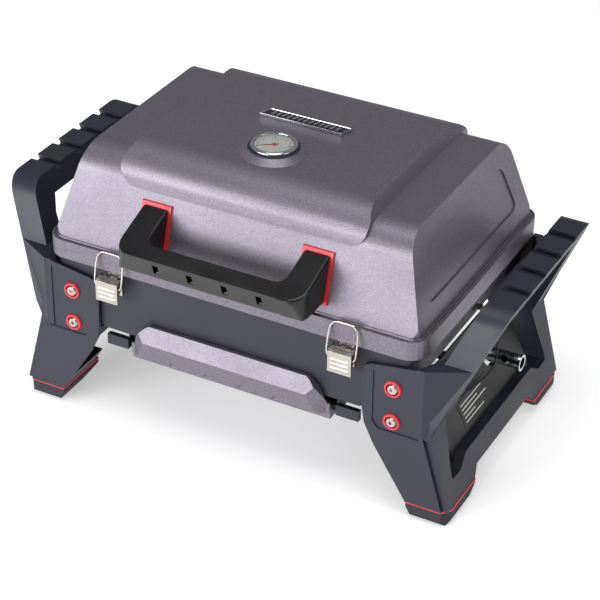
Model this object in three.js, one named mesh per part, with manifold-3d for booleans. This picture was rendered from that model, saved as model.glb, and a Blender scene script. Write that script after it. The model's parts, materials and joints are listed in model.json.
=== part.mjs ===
// A portable tabletop gas grill. Millimetres, +Z up, +X to the cook's right, the cook stands at -Y.
// The origin is on the floor under the middle of the whole grill.
import * as THREE from "three";
import { mergeVertices } from "three/addons/utils/BufferGeometryUtils.js";
import Module from "manifold-3d";

const wasm = await Module();
wasm.setup();

// ---------------------------------------------------------------- driving dimensions
const GAP = 0.3; // between pieces that touch
const RUNNING_GAP = 0.5; // between pieces that turn or slide on each other

const RIM_LENGTH = 514.8; // lid rim, outside
const RIM_DEPTH = 358.8;
const RIM_BOTTOM = 226;
const RIM_HEIGHT = 25;
const RIM_CORNER = 25;
const LID_WALL = 3;
const DOME_INSET_X = 8.4; // rim shelf beside the dome's foot
const DOME_INSET_Y = 10.4;
const DOME_HEIGHT = 115.5;
const DOME_SLOPE = 0.268; // run of the front and back faces for each unit of rise
const DOME_END_SLOPE = 0.26;
const SHOULDER_RADIUS = 38;
const DOME_CORNER = 10;
const PANEL_LENGTH = 315; // raised centre panel, at its crest
const PANEL_RISE = 14;
const PANEL_SHOULDER = 44.5;
const PANEL_SET_BACK = 67; // centre of that shoulder's curve, in from the dome's foot
const PANEL_DROP = 33; // dome's top to where its front drop meets the dome's face
const PANEL_SIDE_RUN = 8.5; // run of its sloped sides
const PANEL_CORNER = 26;

const FIREBOX_CLEARANCE = 4.4; // lid skirt to firebox wall
const FIREBOX_WALL = 3.5;
const FIREBOX_BOTTOM = 137;
const FIREBOX_TOP_GAP = 0.5; // lid shelf to firebox edge
const END_SLOPE_RUN = 72; // how far the end walls slope in towards the floor
const LEDGE = 8; // each step that a grate or plate rests on
const GRATE_LEDGE_Z = 221;
const EMITTER_LEDGE_Z = 195;
const HIP_Z = 172; // where the end walls start to slope in
const DRAIN_RADIUS = 15;
const GRATE_BAR = 5;
const GRATE_BARS = 19;
const EMITTER_SHEET = 2;
const EMITTER_FOLDS = 15;

const FRAME_FOOT_OUT = 51; // outer faces of the side frames, measured from the firebox's end wall
const FRAME_WAIST_OUT = 23;
const FRAME_HANDLE_OUT = 93;
const FRAME_WIDTH = 36.5;
const FRAME_LEAN = 0.309; // how far its front and rear edges lean in, for each unit of rise
const WAIST_Z = 128;
const HANDLE_TOP = 289;
const HANDLE_UNDER = 262;
const FOOT_HEIGHT = 20;
const BAND_HEIGHT = 2.7;
const PLATE_STAND = 6; // front plate's face to firebox wall
const STRUT_DEPTH = 33;
const RAIL_UNDER = 36;
const RAIL_TOP = 65;
const RAIL_WALL = 12;
const FOOT_LENGTH = 81;
const RIB_PITCH = 48;
const RIB_NOTCH = 14;
const RIB_DEPTH = 6;
const PLATE_SCREW_X = -27.5; // from the firebox's end wall
const PLATE_SCREW_HIGH = 179.5;
const PLATE_SCREW_LOW = 132.8;
const SCREW_HEAD_RADIUS = 7.85;
const RING_RADIUS = 11.5;

const HANDLE_LENGTH = 252.8; // lid handle, over its arms
const HANDLE_REACH = 59; // grip's front edge to the dome's foot
const HANDLE_ARM = 34.5;
const HANDLE_GRIP = 22;
const HANDLE_CORNER = 22;
const HANDLE_TILT = 20; // degrees that its top face falls towards the cook
const HANDLE_TOP_Z = 321; // where its top face meets the dome
const HANDLE_LOW_Z = 264;
const BEZEL = 3; // red frame round each arm

const THERMO_Y = -60;
const BOSS_FOOT_RADIUS = 42;
const BOSS_TOP_RADIUS = 33;
const BOSS_RISE = 6.5;
const DIAL_BEZEL_RADIUS = 29;
const DIAL_RADIUS = 24.2;
const BADGE_LENGTH = 120;
const BADGE_DEPTH = 19;
const BADGE_Y = 22;

const LATCH_X = 160; // from the middle
const LATCH_WIDTH = 31;
const LATCH_PIVOT_OUT = 9; // pivot in front of the firebox wall
const LATCH_PIVOT_DROP = 8.5; // pivot below the rim
const LEVER_HEIGHT = 27;
const BAIL_WIRE = 1.5; // radius

const TRAY_HALF_WIDTH = 139;
const TRAY_DEPTH = 250;
const TRAY_FLOOR = 104;
const TRAY_LIP_Z = 121;
const TRAY_GRIP_HALF = 110;
const TRAY_GRIP_TOP = 162;
const TRAY_LEDGE = 31;

const INLET_Y = 40;
const INLET_Z = 113;
const INLET_RADIUS = 9.5;
const INLET_BORE = 7.8;
const INLET_REACH = 50; // tube's mouth past the firebox's end wall
const BURNER_Z = 184;
const BURNER_RADIUS = 14;

const HINGE_X = 150;
const HINGE_PIVOT_OUT = 6.6; // behind the rim
const HINGE_PIVOT_DROP = 4; // below the rim
const HINGE_RADIUS = 5;
const HINGE_PIN_RADIUS = 2;
const HINGE_LENGTH = 44;

// ---------------------------------------------------------------- worked-out dimensions
const RIM_TOP = RIM_BOTTOM + RIM_HEIGHT;
const RIM_X = RIM_LENGTH / 2;
const RIM_Y = RIM_DEPTH / 2;
const BOX_X = RIM_X - LID_WALL - FIREBOX_CLEARANCE;
const BOX_Y = RIM_Y - LID_WALL - FIREBOX_CLEARANCE;
const FLOOR_HALF_LENGTH = BOX_X - END_SLOPE_RUN;
const BOX_TOP = RIM_TOP - LID_WALL - FIREBOX_TOP_GAP;
const DOME_X = RIM_X - DOME_INSET_X;
const DOME_Y = RIM_Y - DOME_INSET_Y;
const DOME_TOP = RIM_TOP + DOME_HEIGHT;
const PANEL_TOP = DOME_TOP + PANEL_RISE;
const PLATE_Y = BOX_Y + PLATE_STAND;
const LOOP_Y = PLATE_Y - 4;
const LEG_BOTTOM = FOOT_HEIGHT + BAND_HEIGHT + 2 * GAP;
const radians = THREE.MathUtils.degToRad;

// ---------------------------------------------------------------- solids and how they are joined
function solid(geometry) {
  const bare = geometry.index ? geometry.toNonIndexed() : geometry.clone();
  bare.deleteAttribute("normal");
  bare.deleteAttribute("uv");
  const merged = mergeVertices(bare, 1e-4);
  return new wasm.Manifold(
    new wasm.Mesh({
      numProp: 3,
      vertProperties: new Float32Array(merged.attributes.position.array),
      triVerts: new Uint32Array(merged.index.array),
    }),
  );
}

function geometryOf(shape) {
  const mesh = shape.getMesh();
  const geometry = new THREE.BufferGeometry();
  geometry.setAttribute("position", new THREE.BufferAttribute(new Float32Array(mesh.vertProperties), 3));
  geometry.setIndex(new THREE.BufferAttribute(new Uint32Array(mesh.triVerts), 1));
  const flat = geometry.toNonIndexed();
  flat.computeVertexNormals();
  return flat;
}

function join(...shapes) {
  return shapes.reduce((all, next) => all.add(next));
}

function cut(shape, ...tools) {
  return tools.reduce((left, tool) => left.subtract(tool), shape);
}

function block(x0, x1, y0, y1, z0, z1) {
  const geometry = new THREE.BoxGeometry(x1 - x0, y1 - y0, z1 - z0);
  geometry.translate((x0 + x1) / 2, (y0 + y1) / 2, (z0 + z1) / 2);
  return solid(geometry);
}

function prism(points, length, hole) {
  const shape = new THREE.Shape(points.map(([a, b]) => new THREE.Vector2(a, b)));
  if (hole) shape.holes.push(new THREE.Path(hole.map(([a, b]) => new THREE.Vector2(a, b))));
  return new THREE.ExtrudeGeometry(shape, { depth: length, bevelEnabled: false });
}

// A prism of a (y, z) outline between two x values.
function alongX(points, x0, x1, hole) {
  const geometry = prism(points, x1 - x0, hole);
  const turn = new THREE.Matrix4().makeBasis(
    new THREE.Vector3(0, 1, 0),
    new THREE.Vector3(0, 0, 1),
    new THREE.Vector3(1, 0, 0),
  );
  return solid(geometry.applyMatrix4(turn).translate(x0, 0, 0));
}

// A prism of an (x, z) outline between two y values.
function alongY(points, y0, y1, hole) {
  const geometry = prism(points, y1 - y0, hole);
  const turn = new THREE.Matrix4().makeBasis(
    new THREE.Vector3(1, 0, 0),
    new THREE.Vector3(0, 0, 1),
    new THREE.Vector3(0, -1, 0),
  );
  return solid(geometry.applyMatrix4(turn).translate(0, y1, 0));
}

// A prism of an (x, y) outline between two heights.
function alongZ(points, z0, z1, hole) {
  return solid(prism(points, z1 - z0, hole).translate(0, 0, z0));
}

// A rod from one point to another.
function rod(from, to, radius, endRadius = radius, sides = 20) {
  const a = new THREE.Vector3(...from);
  const b = new THREE.Vector3(...to);
  const along = b.clone().sub(a);
  const geometry = new THREE.CylinderGeometry(endRadius, radius, along.length(), sides);
  const turn = new THREE.Quaternion().setFromUnitVectors(new THREE.Vector3(0, 1, 0), along.normalize());
  geometry.applyQuaternion(turn);
  geometry.translate(...a.add(b).multiplyScalar(0.5).toArray());
  return solid(geometry);
}

// A turned piece about the Z axis from (radius, height) points, moved to x, y.
function turned(points, x, y, sides = 32) {
  const profile = points.map(([r, z]) => new THREE.Vector2(r, z));
  const geometry = new THREE.LatheGeometry(profile, sides);
  geometry.rotateX(Math.PI / 2);
  return solid(geometry.translate(x, y, 0));
}

// A round wire or pipe along a curve.
function pipe(points, radius, steps, sides) {
  const curve = new THREE.CatmullRomCurve3(points.map((p) => new THREE.Vector3(...p)));
  const ring = new THREE.Shape(
    Array.from({ length: sides }, (_, i) => {
      const angle = (2 * Math.PI * i) / sides;
      return new THREE.Vector2(radius * Math.cos(angle), radius * Math.sin(angle));
    }),
  );
  return solid(new THREE.ExtrudeGeometry(ring, { steps, extrudePath: curve, bevelEnabled: false }));
}

// Points of an arc, angles in degrees, both ends included.
function arc(x, y, radius, from, to, steps) {
  return Array.from({ length: steps + 1 }, (_, i) => {
    const angle = radians(from + ((to - from) * i) / steps);
    return [x + radius * Math.cos(angle), y + radius * Math.sin(angle)];
  });
}

function roundedRectangle(halfX, halfY, radius, steps = 6) {
  return [
    ...arc(halfX - radius, halfY - radius, radius, 0, 90, steps),
    ...arc(radius - halfX, halfY - radius, radius, 90, 180, steps),
    ...arc(radius - halfX, radius - halfY, radius, 180, 270, steps),
    ...arc(halfX - radius, radius - halfY, radius, 270, 360, steps),
  ];
}

function mirrored(points) {
  return points.map(([a, b]) => [-a, b]).reverse();
}

// A solid's mirror image in the plane x = 0 or y = 0.
function flip(shape, axis) {
  return shape.mirror(axis === "x" ? [1, 0, 0] : [0, 1, 0]);
}

// ---------------------------------------------------------------- the scene graph and its finishes
const grill = new THREE.Group();
const finishes = {
  lidPaint: [0x85808a, 0.42, 0.6],
  blackCasting: [0x2c2d3a, 0.6, 0.2],
  framePlastic: [0x34353f, 0.62, 0],
  handlePlastic: [0x17161a, 0.38, 0],
  redPlastic: [0xd23c42, 0.45, 0],
  steel: [0xd8d5d0, 0.28, 1],
  chrome: [0xe4e2e0, 0.12, 1],
  rubber: [0x2b2b33, 0.8, 0],
  trayPaint: [0x8b8690, 0.42, 0.6],
  enamel: [0x1b1b1f, 0.35, 0.1],
  dial: [0xe9e6dc, 0.5, 0],
  lens: [0xf4f6f6, 0.05, 0],
  ceramic: [0x54463a, 0.4, 0],
  cable: [0x121214, 0.55, 0],
};

// A block with a different four-cornered plan at its bottom and its top.
function loft(bottom, top, z0, z1) {
  const corners = [...bottom.map(([x, y]) => [x, y, z0]), ...top.map(([x, y]) => [x, y, z1])];
  const faces = [
    [0, 2, 1],
    [0, 3, 2],
    [4, 5, 6],
    [4, 6, 7],
  ];
  for (let i = 0; i < 4; i++) {
    const j = (i + 1) % 4;
    faces.push([i, j, j + 4], [i, j + 4, i + 4]);
  }
  const geometry = new THREE.BufferGeometry();
  geometry.setAttribute("position", new THREE.BufferAttribute(new Float32Array(corners.flat()), 3));
  geometry.setIndex(faces.flat());
  return solid(geometry);
}

function place(name, shape, finish) {
  const [color, roughness, metalness] = finishes[finish];
  const material = new THREE.MeshStandardMaterial({ color, roughness, metalness });
  material.name = finish;
  const mesh = new THREE.Mesh(geometryOf(shape), material);
  mesh.name = name;
  grill.add(mesh);
}

function placePair(name, rightShape, finish) {
  place(name + "_right", rightShape, finish);
  place(name + "_left", flip(rightShape, "x"), finish);
}

// ---------------------------------------------------------------- lid
// The (y, z) outline of the dome, moved in by inset and standing on z = foot.
function domeSide(inset, foot) {
  const lean = Math.atan(DOME_SLOPE);
  const reach = DOME_Y - inset / Math.cos(lean);
  const radius = SHOULDER_RADIUS - inset;
  const footY = reach - (foot - RIM_TOP) * DOME_SLOPE;
  const centreZ = DOME_TOP - SHOULDER_RADIUS;
  const faceY = reach - (centreZ - RIM_TOP) * DOME_SLOPE;
  const centreY = faceY - radius / Math.cos(lean);
  const shoulder = arc(centreY, centreZ, radius, THREE.MathUtils.radToDeg(lean), 90, 9);
  const half = [[footY, foot], ...shoulder];
  return [...half, ...mirrored(half)];
}

function domeEnd(inset, foot, top) {
  const reach = DOME_X - inset;
  const footX = reach - (foot - RIM_TOP) * DOME_END_SLOPE;
  const topX = reach - (top - RIM_TOP) * DOME_END_SLOPE;
  return [
    [footX, foot],
    [topX, top],
    [-topX, top],
    [-footX, foot],
  ];
}

function dome(inset, foot) {
  const plan = roundedRectangle(DOME_X - inset, DOME_Y - inset, DOME_CORNER - inset, 4);
  const side = alongX(domeSide(inset, foot), -RIM_X, RIM_X);
  const end = alongY(domeEnd(inset, foot, DOME_TOP + 1), -RIM_Y, RIM_Y);
  return side.intersect(end).intersect(alongZ(plan, foot - 1, DOME_TOP + 1));
}

// The raised panel: its own softer shoulder, a straight drop to the dome's face, round lower corners.
function centrePanel(inset) {
  const lean = Math.atan(DOME_SLOPE);
  const radius = PANEL_SHOULDER - inset;
  const centreY = DOME_Y - PANEL_SET_BACK;
  const centreZ = PANEL_TOP - PANEL_SHOULDER;
  const shoulder = arc(centreY, centreZ, radius, THREE.MathUtils.radToDeg(lean), 90, 8);
  const foot = DOME_TOP - PANEL_DROP + inset;
  const footY = DOME_Y - inset / Math.cos(lean) - (foot - RIM_TOP) * DOME_SLOPE;
  const profile = [[footY - 12, foot - 12], [footY, foot], ...shoulder];
  const side = alongX([...profile, ...mirrored(profile)], -RIM_X, RIM_X);
  const crest = PANEL_LENGTH / 2 - inset;
  const half = [
    ...arc(crest + PANEL_SIDE_RUN - PANEL_CORNER, foot + PANEL_CORNER, PANEL_CORNER, -90, 0, 5),
    [crest + PANEL_SIDE_RUN, DOME_TOP - inset],
    [crest, PANEL_TOP + 1],
  ];
  return side.intersect(alongY([...half, ...mirrored(half)], -RIM_Y, RIM_Y));
}

function lidShell() {
  const rim = alongZ(roundedRectangle(RIM_X, RIM_Y, RIM_CORNER), RIM_BOTTOM, RIM_TOP);
  const skirtHollow = alongZ(
    roundedRectangle(RIM_X - LID_WALL, RIM_Y - LID_WALL, RIM_CORNER - LID_WALL),
    RIM_BOTTOM - 1,
    RIM_TOP - LID_WALL,
  );
  const boss = turned(
    [
      [0, PANEL_TOP - 1],
      [BOSS_FOOT_RADIUS, PANEL_TOP - 1],
      [BOSS_FOOT_RADIUS, PANEL_TOP],
      [BOSS_TOP_RADIUS, PANEL_TOP + BOSS_RISE],
      [0, PANEL_TOP + BOSS_RISE],
    ],
    0,
    THERMO_Y,
  );
  const outside = join(rim, dome(0, RIM_TOP - 1), centrePanel(0), boss);
  const inside = join(skirtHollow, dome(LID_WALL, RIM_TOP - 2 * LID_WALL), centrePanel(LID_WALL));
  const probeHole = rod([0, THERMO_Y, DOME_TOP], [0, THERMO_Y, PANEL_TOP + 20], PROBE_RADIUS + RUNNING_GAP);
  return cut(outside, inside, probeHole);
}

// ---------------------------------------------------------------- lid handle
const DOME_FRONT = -DOME_Y;
const GRIP_FRONT = DOME_FRONT - HANDLE_REACH;

// The dome's front face at a height.
function slopeY(z) {
  return DOME_FRONT + (z - RIM_TOP) * DOME_SLOPE;
}

// The handle's plate-like arms and grip, seen from the end.
function handleSide(clear) {
  const topSlope = Math.tan(radians(HANDLE_TILT));
  const backTop = slopeY(HANDLE_TOP_Z) - clear;
  const frontTop = HANDLE_TOP_Z - (backTop - GRIP_FRONT) * topSlope;
  return [
    [backTop, HANDLE_TOP_Z],
    [GRIP_FRONT, frontTop],
    [GRIP_FRONT + (frontTop - HANDLE_LOW_Z) * topSlope, HANDLE_LOW_Z],
    [slopeY(HANDLE_LOW_Z) - clear, HANDLE_LOW_Z],
  ];
}

function lidHandle() {
  const halfLength = HANDLE_LENGTH / 2;
  const armInner = halfLength - HANDLE_ARM;
  const gripBack = GRIP_FRONT + HANDLE_GRIP;
  const inset = HANDLE_CORNER * 0.6;
  const plan = [
    ...arc(halfLength - HANDLE_CORNER, GRIP_FRONT + HANDLE_CORNER, HANDLE_CORNER, -90, 0, 6),
    [halfLength, 0],
  ];
  const opening = [
    ...arc(armInner - inset, gripBack + inset, inset, -90, 0, 4),
    [armInner, 1],
  ];
  return alongX(handleSide(BEZEL + 2 * GAP), -halfLength, halfLength)
    .intersect(alongZ([...plan, ...mirrored(plan)], 0, DOME_TOP))
    .subtract(alongZ([...opening, ...mirrored(opening)], 0, DOME_TOP));
}

// A plate on the dome's front face round the foot of one arm.
function handleBezel() {
  const outer = HANDLE_LENGTH / 2 + BEZEL;
  const inner = HANDLE_LENGTH / 2 - HANDLE_ARM - BEZEL;
  const high = HANDLE_TOP_Z + BEZEL;
  const low = HANDLE_LOW_Z - BEZEL;
  const slab = alongX(
    [
      [slopeY(high) - GAP, high],
      [slopeY(high) - GAP - BEZEL, high],
      [slopeY(low) - GAP - BEZEL, low],
      [slopeY(low) - GAP, low],
    ],
    inner,
    outer,
  );
  const screwHole = rod(
    [HANDLE_SCREW_X, slopeY(HANDLE_SCREW_Z) - 20, HANDLE_SCREW_Z],
    [HANDLE_SCREW_X, 0, HANDLE_SCREW_Z],
    HANDLE_SCREW_RADIUS + GAP,
  );
  return slab.subtract(screwHole);
}

const HANDLE_SCREW_X = HANDLE_LENGTH / 2 - HANDLE_ARM / 2;
const HANDLE_SCREW_Z = (HANDLE_TOP_Z + HANDLE_LOW_Z) / 2;
const HANDLE_SCREW_RADIUS = 3;
const HANDLE_SCREW_BITE = 20; // length inside the handle

function handleScrew(extra = 0) {
  const wallY = slopeY(HANDLE_SCREW_Z) + LID_WALL + 2.2;
  const shank = rod(
    [HANDLE_SCREW_X, wallY + 2, HANDLE_SCREW_Z],
    [HANDLE_SCREW_X, slopeY(HANDLE_SCREW_Z) - HANDLE_SCREW_BITE - extra, HANDLE_SCREW_Z],
    HANDLE_SCREW_RADIUS + extra,
    HANDLE_SCREW_RADIUS + extra,
    12,
  );
  if (extra) return shank;
  return join(
    shank,
    rod([HANDLE_SCREW_X, wallY, HANDLE_SCREW_Z], [HANDLE_SCREW_X, wallY + 4, HANDLE_SCREW_Z], 6, 5, 16),
  );
}

// ---------------------------------------------------------------- thermometer and badge
const BOSS_TOP = PANEL_TOP + BOSS_RISE;
const PROBE_RADIUS = 4;
const PROBE_LENGTH = 48;

function thermometerBezel() {
  const low = BOSS_TOP + GAP;
  return turned(
    [
      [DIAL_RADIUS + GAP, low],
      [DIAL_BEZEL_RADIUS, low],
      [DIAL_BEZEL_RADIUS, low + 3.2],
      [DIAL_BEZEL_RADIUS - 1.6, low + 4.8],
      [DIAL_RADIUS + GAP, low + 4.8],
      [DIAL_RADIUS + GAP, low],
    ],
    0,
    THERMO_Y,
  );
}

function disc(radius, low, height, sides = 32) {
  return rod([0, THERMO_Y, low], [0, THERMO_Y, low + height], radius, radius, sides);
}

function thermometerNeedle() {
  const z = BOSS_TOP + 1.6;
  const blade = alongZ(
    [
      [-5, -0.9],
      [16.5, -0.35],
      [16.5, 0.35],
      [-5, 0.9],
    ],
    z,
    z + 0.7,
  ).rotate([0, 0, 215]);
  return join(blade.translate([0, THERMO_Y, 0]), disc(2.6, z, 0.9, 16));
}

function badgePlate() {
  const skew = BADGE_DEPTH * 0.35;
  const halfLength = BADGE_LENGTH / 2;
  const halfDepth = BADGE_DEPTH / 2;
  return alongZ(
    [
      [-halfLength, -halfDepth],
      [halfLength - skew, -halfDepth],
      [halfLength, halfDepth],
      [skew - halfLength, halfDepth],
    ],
    PANEL_TOP + GAP,
    PANEL_TOP + GAP + 4,
  ).translate([0, BADGE_Y, 0]);
}

// ---------------------------------------------------------------- firebox and what it holds
// The (x, z) outline of the firebox's outside, or of its hollow when the wall is given.
function fireboxEnd(wall) {
  const half = [
    [FLOOR_HALF_LENGTH - wall, FIREBOX_BOTTOM + wall],
    [BOX_X - 2 * LEDGE + 2 - wall, HIP_Z + wall * 0.3],
    [BOX_X - 2 * LEDGE + 2 - wall, EMITTER_LEDGE_Z - 4 + wall],
    [BOX_X - LEDGE - wall, EMITTER_LEDGE_Z + wall],
    [BOX_X - LEDGE - wall, GRATE_LEDGE_Z - 4 + wall],
    [BOX_X - wall, GRATE_LEDGE_Z + wall],
    [BOX_X - wall, BOX_TOP + wall],
  ];
  return [...half, ...mirrored(half)];
}

function firebox() {
  const outside = alongY(fireboxEnd(0), -BOX_Y, BOX_Y);
  const plan = alongZ(roundedRectangle(BOX_X, BOX_Y, 14, 4), 0, BOX_TOP + 1);
  const hollow = alongY(fireboxEnd(FIREBOX_WALL), FIREBOX_WALL - BOX_Y, BOX_Y - FIREBOX_WALL);
  const drain = rod([0, 0, 0], [0, 0, FIREBOX_BOTTOM + 20], DRAIN_RADIUS);
  const inletHole = rod([INLET_TURN_X, 0, 0], [INLET_TURN_X, 0, BURNER_Z], INLET_RADIUS + 2 * GAP);
  const electrodeHole = rod(
    [0, ELECTRODE_Y, ELECTRODE_Z],
    [BOX_X + 10, ELECTRODE_Y, ELECTRODE_Z],
    ELECTRODE_RADIUS + GAP,
  );
  const right = electrodeHole.intersect(block(BOX_X - 60, BOX_X + 10, -BOX_Y, BOX_Y, 0, BOX_TOP));
  const screwHoles = [-1, 1].flatMap((sx) =>
    [-1, 1].map((sy) => plateScrewHole(sx, sy, PLATE_SCREW_HIGH)),
  );
  return cut(outside.intersect(plan), hollow, drain, inletHole, right, ...screwHoles);
}

function cookingGrate() {
  const halfX = BOX_X - FIREBOX_WALL - 2.5;
  const halfY = BOX_Y - FIREBOX_WALL - 4;
  const z = GRATE_LEDGE_Z + FIREBOX_WALL + GAP;
  const frame = alongZ(
    roundedRectangle(halfX, halfY, 10, 3),
    z,
    z + GRATE_BAR,
    roundedRectangle(halfX - GRATE_BAR, halfY - GRATE_BAR, 5, 3).reverse(),
  );
  const pitch = (2 * (halfX - GRATE_BAR / 2)) / (GRATE_BARS + 1);
  const bars = Array.from({ length: GRATE_BARS }, (_, i) => {
    const x = (i + 1) * pitch - halfX + GRATE_BAR / 2;
    return block(x - GRATE_BAR / 2, x + GRATE_BAR / 2, 1 - halfY, halfY - 1, z + 1, z + GRATE_BAR + 1);
  });
  const crossBar = block(1 - halfX, halfX - 1, -GRATE_BAR / 2, GRATE_BAR / 2, z + 0.5, z + GRATE_BAR - 0.5);
  return join(frame, ...bars, crossBar);
}

// The folded sheet above the flame that turns it into even heat.
function emitterPlate() {
  const halfX = BOX_X - LEDGE - FIREBOX_WALL - 2;
  const z = EMITTER_LEDGE_Z + FIREBOX_WALL + GAP;
  const flat = LEDGE + 2;
  const pitch = (2 * (halfX - flat)) / EMITTER_FOLDS;
  const peak = 12;
  const ridge = [[-halfX, z]];
  for (let i = 0; i < EMITTER_FOLDS; i++) {
    const x = flat - halfX + i * pitch;
    ridge.push([x, z], [x + pitch / 2, z + peak]);
  }
  ridge.push([halfX - flat, z], [halfX, z]);
  const top = ridge.map(([x, y]) => [x, y + EMITTER_SHEET]).reverse();
  return alongY([...ridge, ...top], 8 - BOX_Y, BOX_Y - 8);
}

const INLET_END = BOX_X + INLET_REACH;
const INLET_TURN_X = BOX_X - 64;

// The venturi: straight in from the side, then up through the firebox floor under the burner.
function gasInletTube() {
  const route = [
    [INLET_END, INLET_Y, INLET_Z],
    [BOX_X + 14, INLET_Y, INLET_Z],
    [BOX_X - 6, INLET_Y - 6, INLET_Z],
    [BOX_X - 34, 4, INLET_Z],
    [INLET_TURN_X + 10, 0, INLET_Z + 4],
    [INLET_TURN_X + 2, 0, INLET_Z + 12],
    [INLET_TURN_X, 0, INLET_Z + 23],
    [INLET_TURN_X, 0, BURNER_Z - BURNER_RADIUS - 1],
  ];
  const wall = pipe(route, INLET_RADIUS, 16, 14);
  const first = route[0];
  const last = route[route.length - 1];
  const beyond = [[first[0] + 3, first[1], first[2]], ...route.slice(1, -1), [last[0], last[1], last[2] + 3]];
  const lip = rod([INLET_END - 4, INLET_Y, INLET_Z], first, INLET_RADIUS + 1.5, INLET_RADIUS + 1.5, 16);
  const collar = rod(
    [BOX_X - 8, INLET_Y, INLET_Z],
    [BOX_X - 1, INLET_Y, INLET_Z],
    INLET_RADIUS + 3,
    INLET_RADIUS + 3,
    6,
  );
  const airHole = rod(
    [INLET_END - 22, INLET_Y, INLET_Z],
    [INLET_END - 22, INLET_Y - 20, INLET_Z + 12],
    4.5,
    4.5,
    12,
  );
  const bore = pipe(beyond, INLET_BORE, 16, 14);
  return cut(join(wall, lip, collar), bore, airHole);
}

function burnerTube() {
  const halfLength = FLOOR_HALF_LENGTH + 22;
  const body = rod([-halfLength, 0, BURNER_Z], [halfLength, 0, BURNER_Z], BURNER_RADIUS, BURNER_RADIUS, 16);
  const bore = rod(
    [3 - halfLength, 0, BURNER_Z],
    [halfLength - 3, 0, BURNER_Z],
    BURNER_RADIUS - 2,
    BURNER_RADIUS - 2,
    16,
  );
  const ports = Array.from({ length: 12 }, (_, i) => {
    const x = (i - 5.5) * 30;
    return rod([x, 0, BURNER_Z], [x, 0, BURNER_Z + 20], 2, 2, 4);
  });
  const below = [INLET_TURN_X, 0, BURNER_Z - 20];
  const mouth = rod(below, [INLET_TURN_X, 0, BURNER_Z], INLET_BORE, INLET_BORE, 16);
  const feet = [-1, 1].map((side) =>
    block(
      side * 120 - 4,
      side * 120 + 4,
      -10,
      10,
      FIREBOX_BOTTOM + FIREBOX_WALL + GAP,
      BURNER_Z - BURNER_RADIUS + 4,
    ),
  );
  return cut(join(body, ...feet), bore, mouth, ...ports);
}

const ELECTRODE_Y = 30;
const ELECTRODE_Z = 184;
const ELECTRODE_RADIUS = 4;
const ELECTRODE_LENGTH = 38;
const BOX_HIP_X = BOX_X - 2 * LEDGE + 2;

function igniterElectrode() {
  const outer = BOX_HIP_X + 10;
  const body = rod(
    [outer - ELECTRODE_LENGTH, ELECTRODE_Y, ELECTRODE_Z],
    [outer, ELECTRODE_Y, ELECTRODE_Z],
    ELECTRODE_RADIUS,
    ELECTRODE_RADIUS,
    14,
  );
  const tip = rod(
    [outer - ELECTRODE_LENGTH + 2, ELECTRODE_Y, ELECTRODE_Z],
    [outer - ELECTRODE_LENGTH - 12, ELECTRODE_Y - 12, ELECTRODE_Z],
    1.2,
    1.2,
    8,
  );
  const collar = rod(
    [BOX_HIP_X + GAP, ELECTRODE_Y, ELECTRODE_Z],
    [BOX_HIP_X + 3, ELECTRODE_Y, ELECTRODE_Z],
    ELECTRODE_RADIUS + 3,
    ELECTRODE_RADIUS + 3,
    6,
  );
  return join(body, tip, collar);
}

// The lead runs from the electrode, over the inlet tube and along the side shield to the igniter.
const LEAD_RADIUS = 1.25;
const IGNITER_X = BOX_X - 30;
const IGNITER_DEPTH = 27;
const IGNITER_FRONT = BOX_Y - 5 - GAP;
const LEAD_END = IGNITER_FRONT - IGNITER_DEPTH - 2 * GAP;
const LEAD_ROUTE = [
  [BOX_HIP_X + 10 + GAP, ELECTRODE_Y, ELECTRODE_Z],
  [BOX_X + 5, 30, 183],
  [BOX_X + 14, 29, 173],
  [BOX_X + 19, 28, 152],
  [BOX_X + 21, 26, 134],
  [BOX_X + 21, 23, 119],
  [BOX_X + 19, 17, 108],
  [BOX_X + 16, 7, 102],
  [BOX_X + 14, -10, 102],
  [BOX_X + 13, -30, 104.5],
  [BOX_X + 12, -55, 110],
  [BOX_X + 11, 59 - LEAD_END, 112],
  [BOX_X + 9, 37 - LEAD_END, 114],
  [BOX_X + 4, 20 - LEAD_END, 116],
  [BOX_X - 8, 12 - LEAD_END, 117],
  [IGNITER_X + 8, 9 - LEAD_END, 118],
  [IGNITER_X + 1, 5 - LEAD_END, 118],
  [IGNITER_X, -LEAD_END, 118],
];

const IGNITER = { x: IGNITER_X, z: 115, halfX: 13, halfZ: 15, depth: IGNITER_DEPTH };

function igniterHousing() {
  const body = block(
    IGNITER.x - IGNITER.halfX,
    IGNITER.x + IGNITER.halfX,
    -IGNITER_FRONT,
    IGNITER.depth - IGNITER_FRONT,
    IGNITER.z - IGNITER.halfZ,
    IGNITER.z + IGNITER.halfZ,
  );
  const middle = IGNITER.depth / 2 - IGNITER_FRONT;
  const well = rod(
    [IGNITER.x, middle, IGNITER.z - IGNITER.halfZ - 1],
    [IGNITER.x, middle, IGNITER.z - 1],
    BUTTON_RADIUS + RUNNING_GAP,
  );
  return body.subtract(well);
}

const BUTTON_RADIUS = 8;
const BUTTON_TRAVEL = 6;

function igniterButton() {
  const middle = IGNITER.depth / 2 - IGNITER_FRONT;
  const low = IGNITER.z - IGNITER.halfZ - BUTTON_TRAVEL - 2;
  return rod(
    [IGNITER.x, middle, low],
    [IGNITER.x, middle, low + 14],
    BUTTON_RADIUS,
    BUTTON_RADIUS,
    20,
  );
}

// ---------------------------------------------------------------- side frames
const footX = BOX_X + FRAME_FOOT_OUT;
const waistX = BOX_X + FRAME_WAIST_OUT;
const handleX = BOX_X + FRAME_HANDLE_OUT;

// The outer face of a side frame, from its foot in to the waist and out again to the handle.
function frameOuterX(z) {
  if (z < WAIST_Z) return footX + ((waistX - footX) * (z - FOOT_HEIGHT)) / (WAIST_Z - FOOT_HEIGHT);
  return waistX + ((handleX - waistX) * (z - WAIST_Z)) / (HANDLE_TOP - WAIST_Z);
}

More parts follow.
